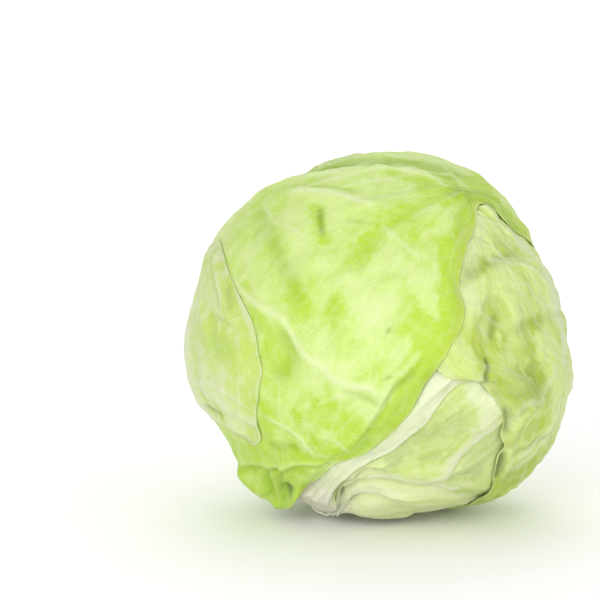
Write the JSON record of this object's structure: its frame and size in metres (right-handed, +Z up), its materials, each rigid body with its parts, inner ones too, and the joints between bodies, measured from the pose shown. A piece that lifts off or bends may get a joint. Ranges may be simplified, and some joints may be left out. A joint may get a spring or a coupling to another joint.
{
  "type": "green cabbage",
  "caption": "head of green cabbage with loose outer leaves wrapped over a closed heart, lying on its side on a small flat spot with its cut stem low at the front left",
  "frame": {"origin": "the middle of the small flat spot under the right leaf, on which the head rests", "axes": "+Z up; -Y toward the viewer of the picture; +X to the viewer's right. The cut stem points down, left and a little to the front"},
  "size_m": [0.19, 0.1856, 0.1788],
  "materials": {
    "front_leaf_blade": "bright yellow-green leaf, waxy, with pale veins",
    "pale_leaf_blade": "paler green leaf with blistered surface and pale veins",
    "back_leaf_blade": "green leaf with pale veins",
    "leaf_base": "whitish green, smooth broad ribs",
    "head_leaf_blade": "pale yellow-green, smooth",
    "heart_flesh": "pale yellow, smooth",
    "stem_flesh": "pinkish white, dull, dry cut end"
  },
  "bodies": {
    "root": {"stem": "stem_flesh", "heart": "heart_flesh", "head_leaf_1": "head_leaf_blade", "head_leaf_2": "head_leaf_blade", "head_leaf_3": "head_leaf_blade", "head_leaf_4": "head_leaf_blade", "head_leaf_5": "head_leaf_blade", "head_leaf_6": "head_leaf_blade", "base_leaf_1": "leaf_base", "base_leaf_2": "leaf_base", "base_leaf_3": "leaf_base", "base_leaf_4": "leaf_base", "base_leaf_5": "leaf_base", "back_left_leaf": "back_leaf_blade", "back_right_leaf": "back_leaf_blade", "right_leaf": "pale_leaf_blade", "front_leaf": "front_leaf_blade", "left_leaf": "pale_leaf_blade"}
  },
  "joints": []
}
